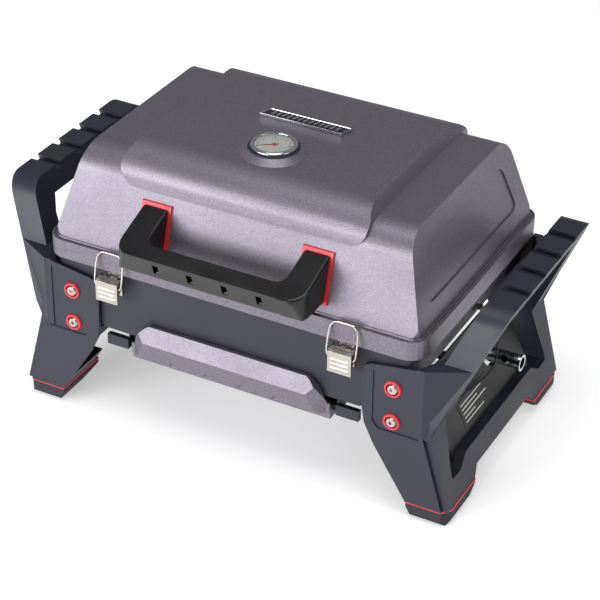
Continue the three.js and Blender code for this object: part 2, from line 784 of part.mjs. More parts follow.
// The front edge of the frame in side view, bottom to top.
function frameEdge() {
  const bend = WAIST_Z + 18;
  const radius = 30;
  const edgeY = (z) => LOOP_Y - (z - bend) * FRAME_LEAN;
  const angle = Math.atan(FRAME_LEAN);
  const centreZ = HANDLE_TOP - radius;
  const centreY = edgeY(centreZ) - radius / Math.cos(angle);
  return [
    [LOOP_Y, LEG_BOTTOM],
    [LOOP_Y, WAIST_Z - 4],
    [LOOP_Y - 0.5, bend],
    ...arc(centreY, centreZ, radius, THREE.MathUtils.radToDeg(angle), 90, 6),
  ];
}

function frameWindow() {
  const edgeY = (z) => LOOP_Y - (z - WAIST_Z - 18) * FRAME_LEAN - STRUT_DEPTH;
  const half = [
    [LOOP_Y - 28, RAIL_TOP - 12],
    [LOOP_Y - 27, RAIL_TOP - 2],
    [LOOP_Y - 34, 94],
    [LOOP_Y - 40, WAIST_Z],
    [edgeY(HANDLE_UNDER - 20), HANDLE_UNDER - 20],
    [edgeY(HANDLE_UNDER) - 6, HANDLE_UNDER],
  ];
  const ramp = [
    [LOOP_Y - 72, RAIL_TOP],
    [LOOP_Y - 50, RAIL_TOP - 13],
  ];
  return [...half, ...mirrored(half), ...mirrored(ramp), ...ramp];
}

function sideFrame() {
  const edge = frameEdge();
  const bottom = [
    [RAIL_FLARE, RAIL_UNDER],
    [LOOP_Y - FOOT_LENGTH, LEG_BOTTOM],
  ];
  const outline = [...edge, ...mirrored(edge), ...mirrored(bottom), ...bottom];
  const loop = alongX(outline, BOX_X - 80, handleX + 10, frameWindow());
  const band = [
    [frameOuterX(0), 0],
    [frameOuterX(WAIST_Z), WAIST_Z],
    [frameOuterX(HANDLE_TOP + 5), HANDLE_TOP + 5],
    [frameOuterX(HANDLE_TOP + 5) - FRAME_WIDTH, HANDLE_TOP + 5],
    [frameOuterX(WAIST_Z) - FRAME_WIDTH, WAIST_Z],
    [frameOuterX(0) - FRAME_WIDTH, 0],
  ];
  const shell = loop.intersect(alongY(band, -RIM_Y, RIM_Y));
  const plate = join(frontPlate(), gusset());
  const railHollow = alongY(
    [
      [BOX_X - 90, RAIL_SHELF],
      [frameOuterX(RAIL_SHELF) - RAIL_WALL, RAIL_SHELF],
      [frameOuterX(RAIL_TOP + 8) - RAIL_WALL, RAIL_TOP + 8],
      [BOX_X - 90, RAIL_TOP + 8],
    ],
    -SHIELD_HALF_LENGTH - GAP,
    SHIELD_HALF_LENGTH + GAP,
  );
  const notches = [-2, -1, 0, 1].map((step) => {
    const y = (step + 0.5) * RIB_PITCH;
    return block(
      handleX - FRAME_WIDTH - 8,
      handleX + 8,
      y - RIB_NOTCH / 2,
      y + RIB_NOTCH / 2,
      HANDLE_TOP - RIB_DEPTH,
      HANDLE_TOP + 6,
    );
  });
  const body = join(shell.subtract(railHollow), plate, flip(plate, "y"));
  const holes = [-1, 1].flatMap((sy) => [
    plateScrewHole(1, sy, PLATE_SCREW_HIGH),
    plateScrewHole(1, sy, PLATE_SCREW_LOW),
  ]);
  return cut(body, ...notches, ...holes);
}

const RAIL_FLARE = LOOP_Y - FOOT_LENGTH - 12;
const RAIL_SHELF = 50; // the ledge inside the lower rail that the shield stands on
const SHIELD_HALF_LENGTH = LOOP_Y - 56;
const SHIELD_TOP = 156;
const SHIELD_LEAN = 0.5;

// The slanted facet that joins the leg plate to the leaning strut behind it.
function gusset() {
  const low = WAIST_Z - 8;
  const high = RIM_BOTTOM - 9;
  const strutY = LOOP_Y - (high - WAIST_Z - 18) * FRAME_LEAN;
  const inner = BOX_X + 2;
  return loft(
    [
      [inner, -PLATE_Y],
      [BOX_X + 12, -PLATE_Y],
      [frameOuterX(WAIST_Z) - 1, -LOOP_Y],
      [inner, 25 - LOOP_Y],
    ],
    [
      [inner, -PLATE_Y],
      [BOX_X + 12, -PLATE_Y],
      [frameOuterX(high) - 1, -strutY],
      [frameOuterX(high) - FRAME_WIDTH + 2, 20 - strutY],
    ],
    low,
    high,
  );
}

// The wide leg plate across the firebox's corner, with a sunk panel round its two screws.
function frontPlate() {
  const outline = [
    [BOX_X - 5, LEG_BOTTOM],
    [footX - 8, LEG_BOTTOM],
    [BOX_X + 12, WAIST_Z],
    [BOX_X + 12, RIM_BOTTOM - 9],
    [BOX_X - 56, RIM_BOTTOM - 19],
    [BOX_X - 64, RIM_BOTTOM - 23],
    [BOX_X - 67.5, RIM_BOTTOM - 32],
    [BOX_X - 66.3, 141],
    [BOX_X - 63, 121],
    [BOX_X - 50, 94],
    [BOX_X - 27, 58],
  ];
  const sunk = [
    [BOX_X + 8, 118],
    [BOX_X + 8, RIM_BOTTOM - 17],
    [BOX_X - 53, RIM_BOTTOM - 27],
    [BOX_X - 53, 128],
    [BOX_X - 45, 118],
  ];
  const slab = alongY(outline, -PLATE_Y, -BOX_Y - GAP);
  const foot = alongY(
    [
      [BOX_X - 5, LEG_BOTTOM],
      [footX - 10, LEG_BOTTOM],
      [footX - 16, 48],
      [BOX_X - 20.6, 48],
    ],
    -PLATE_Y,
    -PLATE_Y + FOOT_LENGTH - 8,
  );
  return join(slab, foot).subtract(alongY(sunk, -PLATE_Y - 1, 1.5 - PLATE_Y));
}

const SCREW_SHANK_RADIUS = 3;

function plateScrewHole(sx, sy, z) {
  const x = sx * (BOX_X + PLATE_SCREW_X);
  const reach = sy * (BOX_Y - 12);
  const radius = SCREW_SHANK_RADIUS + GAP;
  return rod([x, reach, z], [x, sy * (PLATE_Y + 10), z], radius, radius, 12);
}

// Screws sit on the sunk panel; at the front each has a red ring round its head.
const SUNK_FACE = PLATE_Y - 1.5;

function plateScrew(z, length, headRadius) {
  const x = BOX_X + PLATE_SCREW_X;
  const start = -SUNK_FACE - GAP;
  const shank = rod([x, start - 1, z], [x, start + length, z], SCREW_SHANK_RADIUS, SCREW_SHANK_RADIUS, 12);
  const head = rod([x, start, z], [x, start - 3.4, z], headRadius, headRadius * 0.72, 16);
  const socket = rod([x, start - 1.4, z], [x, start - 5, z], 2.6, 2.6, 6);
  return join(shank, head).subtract(socket);
}

function screwRing(z) {
  const x = BOX_X + PLATE_SCREW_X;
  const start = -SUNK_FACE - GAP;
  const ring = rod([x, start, z], [x, start - 2.4, z], RING_RADIUS, RING_RADIUS - 1, 18);
  const hole = SCREW_HEAD_RADIUS + GAP;
  return ring.subtract(rod([x, start + 1, z], [x, start - 4, z], hole, hole, 18));
}

// Rubber foot and the red band above it, both as long as the leg's end.
function footOutline(grow) {
  return [
    [BOX_X - 5 - grow, -LOOP_Y - 2 - grow],
    [footX - 9, -LOOP_Y - 2 - grow],
    [footX + grow, 9 - LOOP_Y],
    [footX + grow, FOOT_LENGTH - LOOP_Y],
    [BOX_X - 5 - grow, FOOT_LENGTH - LOOP_Y],
  ];
}

function footPad() {
  const upright = alongZ(footOutline(0), 0, FOOT_HEIGHT);
  const side = alongX(
    [
      [-LOOP_Y - 3, FOOT_HEIGHT],
      [-LOOP_Y - 3, 6],
      [4 - LOOP_Y, 0],
      [FOOT_LENGTH - LOOP_Y - 26, 0],
      [FOOT_LENGTH - LOOP_Y, FOOT_HEIGHT - 4],
      [FOOT_LENGTH - LOOP_Y, FOOT_HEIGHT],
    ],
    BOX_X - 20,
    footX + 10,
  );
  const front = alongY(
    [
      [BOX_X - 5, FOOT_HEIGHT],
      [BOX_X - 5, FOOT_HEIGHT - 5],
      [BOX_X + 4, 0],
      [footX - 5, 0],
      [footX, 7],
      [footX, FOOT_HEIGHT],
    ],
    -RIM_Y,
    RIM_Y,
  );
  return upright.intersect(side).intersect(front);
}

function footBand() {
  return alongZ(footOutline(0.4), FOOT_HEIGHT + GAP, FOOT_HEIGHT + GAP + BAND_HEIGHT);
}

// The folded sheet behind each lower rail that keeps heat off it.
function sideShield() {
  const sheet = 2;
  const kink = RAIL_TOP + 1;
  const lowX = frameOuterX(RAIL_SHELF) - RAIL_WALL - GAP;
  const kinkX = frameOuterX(kink) - RAIL_WALL - GAP;
  const topX = kinkX - (SHIELD_TOP - kink) * SHIELD_LEAN;
  const outline = [
    [lowX, RAIL_SHELF + GAP],
    [kinkX, kink],
    [topX, SHIELD_TOP],
    [topX - sheet, SHIELD_TOP],
    [kinkX - sheet, kink],
    [lowX - sheet, RAIL_SHELF + GAP],
  ];
  return alongY(outline, -SHIELD_HALF_LENGTH, SHIELD_HALF_LENGTH);
}

// ---------------------------------------------------------------- grease tray and its rails
function greaseTray() {
  const wall = 2;
  const front = -BOX_Y + 1;
  const pan = block(-TRAY_HALF_WIDTH, TRAY_HALF_WIDTH, front, front + TRAY_DEPTH, TRAY_FLOOR, TRAY_LIP_Z);
  const basin = block(
    wall - TRAY_HALF_WIDTH,
    TRAY_HALF_WIDTH - wall,
    front + wall,
    front + TRAY_DEPTH - wall,
    TRAY_FLOOR + wall,
    TRAY_LIP_Z + 1,
  );
  const lips = [-1, 1].map((side) => {
    const a = side * (TRAY_HALF_WIDTH - 1);
    const b = side * (TRAY_HALF_WIDTH + 6);
    const high = TRAY_LIP_Z - 2;
    return block(Math.min(a, b), Math.max(a, b), front + 8, front + TRAY_DEPTH - 4, high - wall, high);
  });
  const apron = block(
    -TRAY_HALF_WIDTH,
    TRAY_HALF_WIDTH,
    front - 2.6,
    front + wall,
    TRAY_LIP_Z - 9,
    TRAY_LIP_Z + 6,
  );
  return join(pan.subtract(basin), apron, trayGrip(front), ...lips);
}

// The grip: a bevelled bar in front of the firebox with finger scoops along its lower edge.
function trayGrip(front) {
  const back = -BOX_Y - 1.3;
  const ridge = back - 16;
  const section = [
    [back, TRAY_GRIP_TOP],
    [back - 5.6, TRAY_GRIP_TOP],
    [ridge, TRAY_GRIP_TOP - 20],
    [ridge + 7, TRAY_LIP_Z - 6],
    [front - 1, TRAY_LIP_Z - 8.2],
    [front - 1, TRAY_LIP_Z + 5],
    [back, TRAY_LIP_Z + 8],
  ];
  const half = [
    [TRAY_GRIP_HALF + 29, TRAY_LIP_Z - 12],
    [TRAY_GRIP_HALF + 29, TRAY_LIP_Z + 5.5],
    [TRAY_GRIP_HALF + 24, TRAY_LIP_Z + 10],
    [TRAY_GRIP_HALF + 20, TRAY_LIP_Z + 20],
    [TRAY_GRIP_HALF + 14, TRAY_GRIP_TOP - 12],
    [TRAY_GRIP_HALF + 5, TRAY_GRIP_TOP - 3],
    [TRAY_GRIP_HALF, TRAY_GRIP_TOP],
  ];
  const plan = [
    [TRAY_GRIP_HALF + 2, ridge - 1],
    [TRAY_GRIP_HALF + 19, ridge + 9.3],
    [TRAY_GRIP_HALF + 29, front + 3],
  ];
  const bar = alongX(section, -TRAY_HALF_WIDTH - 10, TRAY_HALF_WIDTH + 10)
    .intersect(alongY([...half, ...mirrored(half)], ridge - 5, front + 5))
    .intersect(alongZ([...plan, ...mirrored(plan)], 0, TRAY_GRIP_TOP + 5));
  const hollow = block(
    -TRAY_GRIP_HALF,
    TRAY_GRIP_HALF,
    ridge + 8,
    back + 1,
    TRAY_LIP_Z + 10,
    TRAY_GRIP_TOP - 16,
  );
  const scoops = [-1.5, -0.5, 0.5, 1.5].map((step) => {
    const x = step * 48;
    return rod([x, ridge - 3, TRAY_LIP_Z - 8], [x, ridge + 11, TRAY_LIP_Z - 8], 12, 7, 14);
  });
  return cut(bar, hollow, ...scoops);
}

// A folded channel hung under the firebox, with a dark ledge across its front end.
function trayRail() {
  const inner = TRAY_HALF_WIDTH + RUNNING_GAP;
  const outer = TRAY_HALF_WIDTH + 6 + RUNNING_GAP;
  const sheet = 2;
  const low = TRAY_LIP_Z - 4 - RUNNING_GAP;
  const channel = alongY(
    [
      [inner, low - sheet],
      [outer + sheet, low - sheet],
      [outer + sheet, FIREBOX_BOTTOM - GAP - sheet],
      [outer + 8, FIREBOX_BOTTOM - GAP - sheet],
      [outer + 8, FIREBOX_BOTTOM - GAP],
      [outer, FIREBOX_BOTTOM - GAP],
      [outer, low],
      [inner, low],
    ],
    6 - BOX_Y,
    TRAY_DEPTH - BOX_Y,
  );
  const ledge = block(outer + 0.5, outer + TRAY_LEDGE, 1 - BOX_Y, 8 - BOX_Y, low - 4, TRAY_LIP_Z + 6);
  return join(channel, ledge);
}

// ---------------------------------------------------------------- latches
const LATCH = {
  y: -BOX_Y - LATCH_PIVOT_OUT,
  z: RIM_BOTTOM - LATCH_PIVOT_DROP,
  half: LATCH_WIDTH / 2,
};
const BAIL_FOOT = { y: LATCH.y - 9.5, z: LATCH.z - 6.5 };
const LEVER_SHEET = 1.4;
const PIN = 1.6; // latch pin radius
const BARREL = 3.4;

// A wall plate with two ears and the pin that the lever turns on.
function latchBase() {
  const wall = -BOX_Y - GAP;
  const plate = block(LATCH_X - 10, LATCH_X + 10, wall - 1.6, wall, LATCH.z - 26, LATCH.z + 3.4);
  const ears = [-1, 1].map((side) => {
    const x = LATCH_X + side * 8;
    const ear = block(x - 1, x + 1, LATCH.y, wall - 1, LATCH.z - BARREL, LATCH.z + BARREL / 2);
    return join(ear, rod([x - 1, LATCH.y, LATCH.z], [x + 1, LATCH.y, LATCH.z], BARREL, BARREL, 14));
  });
  const pin = rod(
    [LATCH_X - LATCH.half + 0.2, LATCH.y, LATCH.z],
    [LATCH_X + LATCH.half - 0.2, LATCH.y, LATCH.z],
    PIN,
    PIN,
    12,
  );
  return join(plate, ...ears, pin);
}

function latchLever() {
  const face = BAIL_FOOT.y - BAIL_WIRE - RUNNING_GAP - LEVER_SHEET;
  const sheet = LEVER_SHEET;
  const low = LATCH.z - LEVER_HEIGHT;
  const front = block(LATCH_X - LATCH.half, LATCH_X + LATCH.half, face, face + sheet, low, LATCH.z + 1);
  const ears = [-1, 1].map((side) => {
    const x = LATCH_X + side * (LATCH.half - sheet / 2);
    const ear = alongX(
      [
        [face, low + 8],
        [face, LATCH.z + 1],
        [LATCH.y + BARREL, LATCH.z + BARREL],
        [LATCH.y + BARREL, LATCH.z - BARREL],
        [BAIL_FOOT.y + 4, LATCH.z - 12],
      ],
      x - sheet / 2,
      x + sheet / 2,
    );
    const pinHole = rod([x - 3, LATCH.y, LATCH.z], [x + 3, LATCH.y, LATCH.z], PIN + GAP, PIN + GAP, 12);
    const wireHole = rod(
      [x - 3, BAIL_FOOT.y, BAIL_FOOT.z],
      [x + 3, BAIL_FOOT.y, BAIL_FOOT.z],
      BAIL_WIRE + GAP,
      BAIL_WIRE + GAP,
      12,
    );
    return ear.subtract(pinHole).subtract(wireHole);
  });
  const ribs = [0, 1, 2].map((i) => {
    const z = low + 6 + i * 6;
    return alongX(
      [
        [face + 0.1, z - 1.6],
        [face - 0.9, z],
        [face + 0.1, z + 1.6],
      ].reverse(),
      LATCH_X - LATCH.half + 4,
      LATCH_X + LATCH.half - 4,
    );
  });
  const top = alongX(
    [
      [face, LATCH.z + 1],
      [face, LATCH.z - 0.4],
      [LATCH.y - BARREL - 1, LATCH.z + 2],
      [LATCH.y - BARREL - 1, LATCH.z + 3.4],
    ],
    LATCH_X - LATCH.half,
    LATCH_X + LATCH.half,
  );
  return join(front, top, ...ears, ...ribs);
}

// The wire loop whose top bar lies against the front of the lid's rim.
function latchBail() {
  const leg = LATCH.half + 1.2 + BAIL_WIRE;
  const barY = -RIM_Y - RUNNING_GAP - BAIL_WIRE;
  const barZ = RIM_TOP + 2.5;
  const half = [
    [LATCH.half - 4, BAIL_FOOT.y, BAIL_FOOT.z],
    [leg - 2, BAIL_FOOT.y, BAIL_FOOT.z],
    [leg, BAIL_FOOT.y + 0.3, BAIL_FOOT.z + 2],
    [leg, barY - 1.8, barZ - 9],
    [leg - 1, barY - 1.2, barZ - 6],
    [leg - 6, barY - 0.1, barZ - 0.4],
    [leg - 8, barY, barZ],
  ];
  const right = half.map(([x, y, z]) => [LATCH_X + x, y, z]);
  const left = half.map(([x, y, z]) => [LATCH_X - x, y, z]).reverse();
  return pipe([...right, ...left], BAIL_WIRE, 52, 6);
}

// ---------------------------------------------------------------- hinges
const HINGE = { y: RIM_Y + HINGE_PIVOT_OUT, z: RIM_BOTTOM - HINGE_PIVOT_DROP };

function knuckle(x0, x1) {
  return rod([x0, HINGE.y, HINGE.z], [x1, HINGE.y, HINGE.z], HINGE_RADIUS, HINGE_RADIUS, 14);
}

function hingeBore() {
  const from = [HINGE_X - HINGE_LENGTH, HINGE.y, HINGE.z];
  const to = [HINGE_X + HINGE_LENGTH, HINGE.y, HINGE.z];
  return rod(from, to, HINGE_PIN_RADIUS + RUNNING_GAP / 2, HINGE_PIN_RADIUS + RUNNING_GAP / 2, 18);
}

function hingeBracket() {
  const wall = BOX_Y + GAP;
  const half = HINGE_LENGTH / 2;
  const third = HINGE_LENGTH / 6;
  const plate = block(HINGE_X - half, HINGE_X + half, wall, wall + 2.5, HINGE.z - 34, HINGE.z - 1);
  const ends = [-1, 1].map((side) => {
    const a = HINGE_X + side * (third + RUNNING_GAP);
    const b = HINGE_X + side * half;
    const low = Math.min(a, b);
    const high = Math.max(a, b);
    const arm = block(low, high, wall + 1, HINGE.y, HINGE.z - HINGE_RADIUS, HINGE.z - 1);
    return join(knuckle(low, high), arm);
  });
  return join(plate, ...ends).subtract(hingeBore());
}

function hingeLeaf() {
  const third = HINGE_LENGTH / 6;
  const face = RIM_Y + GAP;
  const plate = block(HINGE_X - 16, HINGE_X + 16, face, face + 2.4, RIM_BOTTOM + 5, RIM_TOP - 3);
  const neck = block(HINGE_X - third, HINGE_X + third, face, face + 2.4, HINGE.z, RIM_BOTTOM + 6);
  const middle = knuckle(HINGE_X - third, HINGE_X + third);
  return join(plate, neck, middle).subtract(hingeBore());
}

function hingePin() {
  const half = HINGE_LENGTH / 2;
  const shaft = rod(
    [HINGE_X - half - 1, HINGE.y, HINGE.z],
    [HINGE_X + half + 1, HINGE.y, HINGE.z],
    HINGE_PIN_RADIUS,
    HINGE_PIN_RADIUS,
    18,
  );
  const heads = [-1, 1].map((side) =>
    rod(
      [HINGE_X + side * (half + GAP), HINGE.y, HINGE.z],
      [HINGE_X + side * (half + GAP + 1.6), HINGE.y, HINGE.z],
      3.4,
      3.4,
      14,
    ),
  );
  return join(shaft, ...heads);
}

// ---------------------------------------------------------------- the assembly
const screws = handleScrew();
const screwPath = join(handleScrew(GAP), flip(handleScrew(GAP), "x"));

place("lid_shell", lidShell().subtract(screwPath), "lidPaint");
place("lid_handle", lidHandle().subtract(screwPath), "handlePlastic");
placePair("handle_bezel", handleBezel(), "redPlastic");
placePair("handle_screw", screws, "steel");
place("thermometer_bezel", thermometerBezel(), "chrome");
place("thermometer_dial", disc(DIAL_RADIUS, BOSS_TOP + GAP, 0.8), "dial");
place("thermometer_needle", thermometerNeedle(), "redPlastic");
place("thermometer_lens", disc(DIAL_RADIUS, BOSS_TOP + 3, 1.4), "lens");
place(
  "thermometer_probe",
  rod([0, THERMO_Y, BOSS_TOP - PROBE_LENGTH], [0, THERMO_Y, BOSS_TOP], PROBE_RADIUS, PROBE_RADIUS, 16),
  "steel",
);
place("badge_plate", badgePlate(), "handlePlastic");
placePair("hinge_leaf", hingeLeaf(), "steel");
placePair("hinge_bracket", hingeBracket(), "steel");
placePair("hinge_pin", hingePin(), "steel");

place("firebox", firebox(), "blackCasting");
place("cooking_grate", cookingGrate(), "enamel");
place("emitter_plate", emitterPlate(), "steel");
place("burner_tube", burnerTube(), "steel");
place("gas_inlet_tube", gasInletTube(), "chrome");
place("igniter_electrode", igniterElectrode(), "ceramic");
place("igniter_lead", pipe(LEAD_ROUTE, LEAD_RADIUS, 48, 6), "cable");
place("igniter_housing", igniterHousing(), "framePlastic");
place("igniter_button", igniterButton(), "redPlastic");
const inletPath = rod([BOX_X - 10, INLET_Y, INLET_Z], [footX, INLET_Y, INLET_Z], INLET_RADIUS + 6);
place("side_shield_right", sideShield().subtract(inletPath), "enamel");
place("side_shield_left", flip(sideShield(), "x"), "enamel");

placePair("side_frame", sideFrame(), "framePlastic");
for (const [end, turn] of [
  ["front", (shape) => shape],
  ["rear", (shape) => flip(shape, "y")],
]) {
  placePair("foot_pad_" + end, turn(footPad()), "rubber");
  placePair("foot_band_" + end, turn(footBand()), "redPlastic");
}
for (const [level, z, length] of [
  ["upper", PLATE_SCREW_HIGH, 10],
  ["lower", PLATE_SCREW_LOW, 3.6],
]) {
  placePair("front_screw_" + level, plateScrew(z, length, SCREW_HEAD_RADIUS), "steel");
  placePair("screw_ring_" + level, screwRing(z), "redPlastic");
  placePair("rear_screw_" + level, flip(plateScrew(z, length, RING_RADIUS - 2), "y"), "steel");
}

place("grease_tray", greaseTray(), "trayPaint");
placePair("tray_rail", trayRail(), "blackCasting");
placePair("latch_base", latchBase(), "steel");
placePair("latch_lever", latchLever(), "steel");
placePair("latch_bail", latchBail(), "steel");

// The grill stands over its own middle, front to back.
const reach = new THREE.Box3().setFromObject(grill);
grill.position.y = -(reach.min.y + reach.max.y) / 2;

export default grill;
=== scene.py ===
"""A portable tabletop gas grill: grey domed lid, black firebox, two leg frames with carrying bars."""

import json
import math

import bpy
from mathutils import Matrix, Vector


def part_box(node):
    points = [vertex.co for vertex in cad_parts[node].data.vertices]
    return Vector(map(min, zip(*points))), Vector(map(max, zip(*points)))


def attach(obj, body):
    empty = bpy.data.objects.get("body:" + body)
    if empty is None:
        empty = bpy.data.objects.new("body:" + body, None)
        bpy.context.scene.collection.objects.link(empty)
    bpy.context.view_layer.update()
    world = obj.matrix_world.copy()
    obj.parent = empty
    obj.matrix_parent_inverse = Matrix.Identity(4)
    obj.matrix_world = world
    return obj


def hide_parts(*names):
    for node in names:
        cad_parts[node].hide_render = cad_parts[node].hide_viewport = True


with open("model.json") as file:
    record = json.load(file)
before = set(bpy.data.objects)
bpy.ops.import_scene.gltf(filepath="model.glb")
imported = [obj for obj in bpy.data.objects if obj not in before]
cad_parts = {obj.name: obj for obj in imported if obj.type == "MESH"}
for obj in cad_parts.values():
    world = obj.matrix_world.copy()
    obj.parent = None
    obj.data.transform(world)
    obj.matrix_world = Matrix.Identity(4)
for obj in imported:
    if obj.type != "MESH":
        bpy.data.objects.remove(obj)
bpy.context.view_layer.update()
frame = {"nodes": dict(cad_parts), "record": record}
scene = bpy.context.scene
MM = 0.001
BASE = "stand_and_firebox"
SIDES = {"left": -1, "right": 1}

# ---------------------------------------------------------------- sizes, in millimetres and degrees
VIEW_AZIMUTH = 27.03
VIEW_ELEVATION = 32.35
VIEW_ROLL = 1.10
VIEW_DISTANCE = 2565.2
VIEW_AIM_X = 28.39
VIEW_AIM_Z = 145.84
LENS_LENGTH = 120.5
LENS_SHIFT = (-0.0252, -0.0012)

SHELF_RISE = 3.5  # the lid's flat shelf, above the firebox's top
GROOVE_MARGIN = 1.8
GROOVE_WALL = 0.8
GROOVE_DEPTH = 1.8
END_WALL_SLOPE = 0.26  # how far an end wall leans in for each step up
END_WALL_SET = 8.4  # from the rim's edge in to the stamp's middle, at the shelf
PANEL_RISE = 57  # the pressed panel's middle, above the shelf
PANEL_STAMP = (4, 262, 68)
PANEL_TOP_SHARE = 0.83
PANEL_CORNER = 13

SLOT_PITCH = 46.4
SLOT_CUTTER = (8, 15, 16)
SLOT_TILT = 20
SLOT_SET = 5.5  # a cutter's middle, behind the handle's front
SLOT_RISE = 15  # a cutter's middle, above the handle's underside

BADGE_FACE = (110, 14.4, 1.2)
BADGE_SHIFT = 4.8  # how far the face's back edge is pushed along X
BADGE_BAR = (3.0, 9.5, 0.7)
BADGE_BAR_PITCH = 7.4
BADGE_BAR_TURN = -19

GASKET_RADIUS = 29.4
GASKET_SPREAD = 1.09  # its outer radius over its inner one
GASKET_THICKNESS = 0.7

MARK_COUNT = 26
MARK_START = 215
MARK_STEP = 10
LONG_MARK = (5.0, 0.9, 0.12)
SHORT_MARK = (2.6, 0.5, 0.12)
LONG_MARK_REACH = 19.2
SHORT_MARK_REACH = 20.4

SHIELD_SLOPE = 0.5  # how far the shield's sheet leans in for each step up
LABEL_FILM = (0.3, 84, 34)
LABEL_RISE = 86
LABEL_FORWARD = 26
LABEL_LINES = [(60, -6), (44, -14), (66, -3), (30, -21), (52, -10)]  # width, offset along Y
LABEL_LINE_TOP = 11
LABEL_LINE_PITCH = 5.5

# How far each piece's edges are rounded. A name stands for every node that starts with it.
EDGE_WIDTHS = {
    "firebox": 1.0, "grease_tray": 0.8, "thermometer_bezel": 0.6, "igniter_housing": 0.8,
    "igniter_button": 0.8, "cooking_grate": 0.7, "burner_tube": 0.3, "gas_inlet_tube": 0.5,
    "igniter_electrode": 0.3, "side_frame": 1.4, "handle_bezel": 0.7, "handle_screw": 0.3,
    "latch_lever": 0.35, "latch_base": 0.3, "foot_pad": 1.2, "foot_band": 0.5,
    "front_screw": 0.5, "screw_ring": 0.4, "rear_screw": 0.5, "hinge_leaf": 0.4,
    "hinge_bracket": 0.4, "hinge_pin": 0.3, "side_shield": 0.3,
    "thermometer_lens": 0.2, "thermometer_probe": 0.3,
}


# ---------------------------------------------------------------- camera, floor and light
def aim_camera():
    azimuth = math.radians(VIEW_AZIMUTH)
    elevation = math.radians(VIEW_ELEVATION)
    roll = math.radians(VIEW_ROLL)
    back = Vector(
        (
            math.sin(azimuth) * math.cos(elevation),
            -math.cos(azimuth) * math.cos(elevation),
            math.sin(elevation),
        )
    )
    right = Vector((math.cos(azimuth), math.sin(azimuth), 0))
    up = back.cross(right)
    across = right * math.cos(roll) + up * math.sin(roll)
    upward = up * math.cos(roll) - right * math.sin(roll)
    low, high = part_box("firebox")
    target = Vector((VIEW_AIM_X * MM, (low.y + high.y) / 2, VIEW_AIM_Z * MM))
    lens = bpy.data.cameras.new("camera")
    lens.sensor_width = 36
    lens.lens = LENS_LENGTH
    lens.shift_x, lens.shift_y = LENS_SHIFT
    lens.clip_end = 50
    camera = bpy.data.objects.new("camera", lens)
    turn = Matrix((across, upward, back)).transposed()
    camera.matrix_world = Matrix.Translation(target + back * VIEW_DISTANCE * MM) @ turn.to_4x4()
    scene.collection.objects.link(camera)
    scene.camera = camera


def soft_box(name, place, aim, size, power):
    lamp = bpy.data.lights.new(name, "AREA")
    lamp.shape = "RECTANGLE"
    lamp.size, lamp.size_y = size
    lamp.energy = power
    light = bpy.data.objects.new(name, lamp)
    light.location = place
    light.rotation_euler = (Vector(aim) - Vector(place)).to_track_quat("-Z", "Y").to_euler()
    scene.collection.objects.link(light)


def light_studio():
    world = bpy.data.worlds.new("studio")
    scene.world = world
    world.use_nodes = True
    sky = world.node_tree.nodes["Background"]
    sky.inputs["Color"].default_value = (0.96, 0.96, 1.0, 1)
    sky.inputs["Strength"].default_value = 0.3
    soft_box("front_soft_box", (-1.3, -2.8, 0.7), (0, 0, 0.25), (2.6, 1.2), 92)
    soft_box("top_soft_box", (0.3, -0.5, 2.9), (0, 0, 0.2), (2.0, 1.8), 44)
    soft_box("right_soft_box", (2.8, -0.2, 1.0), (0, 0, 0.2), (1.2, 1.0), 9)
    scene.view_settings.view_transform = "Standard"


# ---------------------------------------------------------------- materials
def linear(code):
    """An sRGB hex value as the linear colour that a shader takes."""
    channels = [int(code[i : i + 2], 16) / 255 for i in (1, 3, 5)]
    return [*(c / 12.92 if c <= 0.04045 else ((c + 0.055) / 1.055) ** 2.4 for c in channels), 1]


def add(tree, kind, settings=None, links=None):
    """A node with its settings and what feeds it."""
    made = tree.nodes.new(kind)
    for name, value in (settings or {}).items():
        if isinstance(name, int) or name in made.inputs:
            made.inputs[name].default_value = value
        else:
            setattr(made, name, value)
    for name, source in (links or {}).items():
        tree.links.new(source, made.inputs[name])
    return made


def start(name, settings):
    """A material with one shader, and the coordinates that its patterns follow."""
    material = bpy.data.materials.new(name)
    material.use_nodes = True
    tree = material.node_tree
    shader = tree.nodes["Principled BSDF"]
    for socket, value in settings.items():
        shader.inputs[socket].default_value = value
    coordinates = add(tree, "ShaderNodeTexCoord").outputs["Object"]
    return material, tree, shader, coordinates


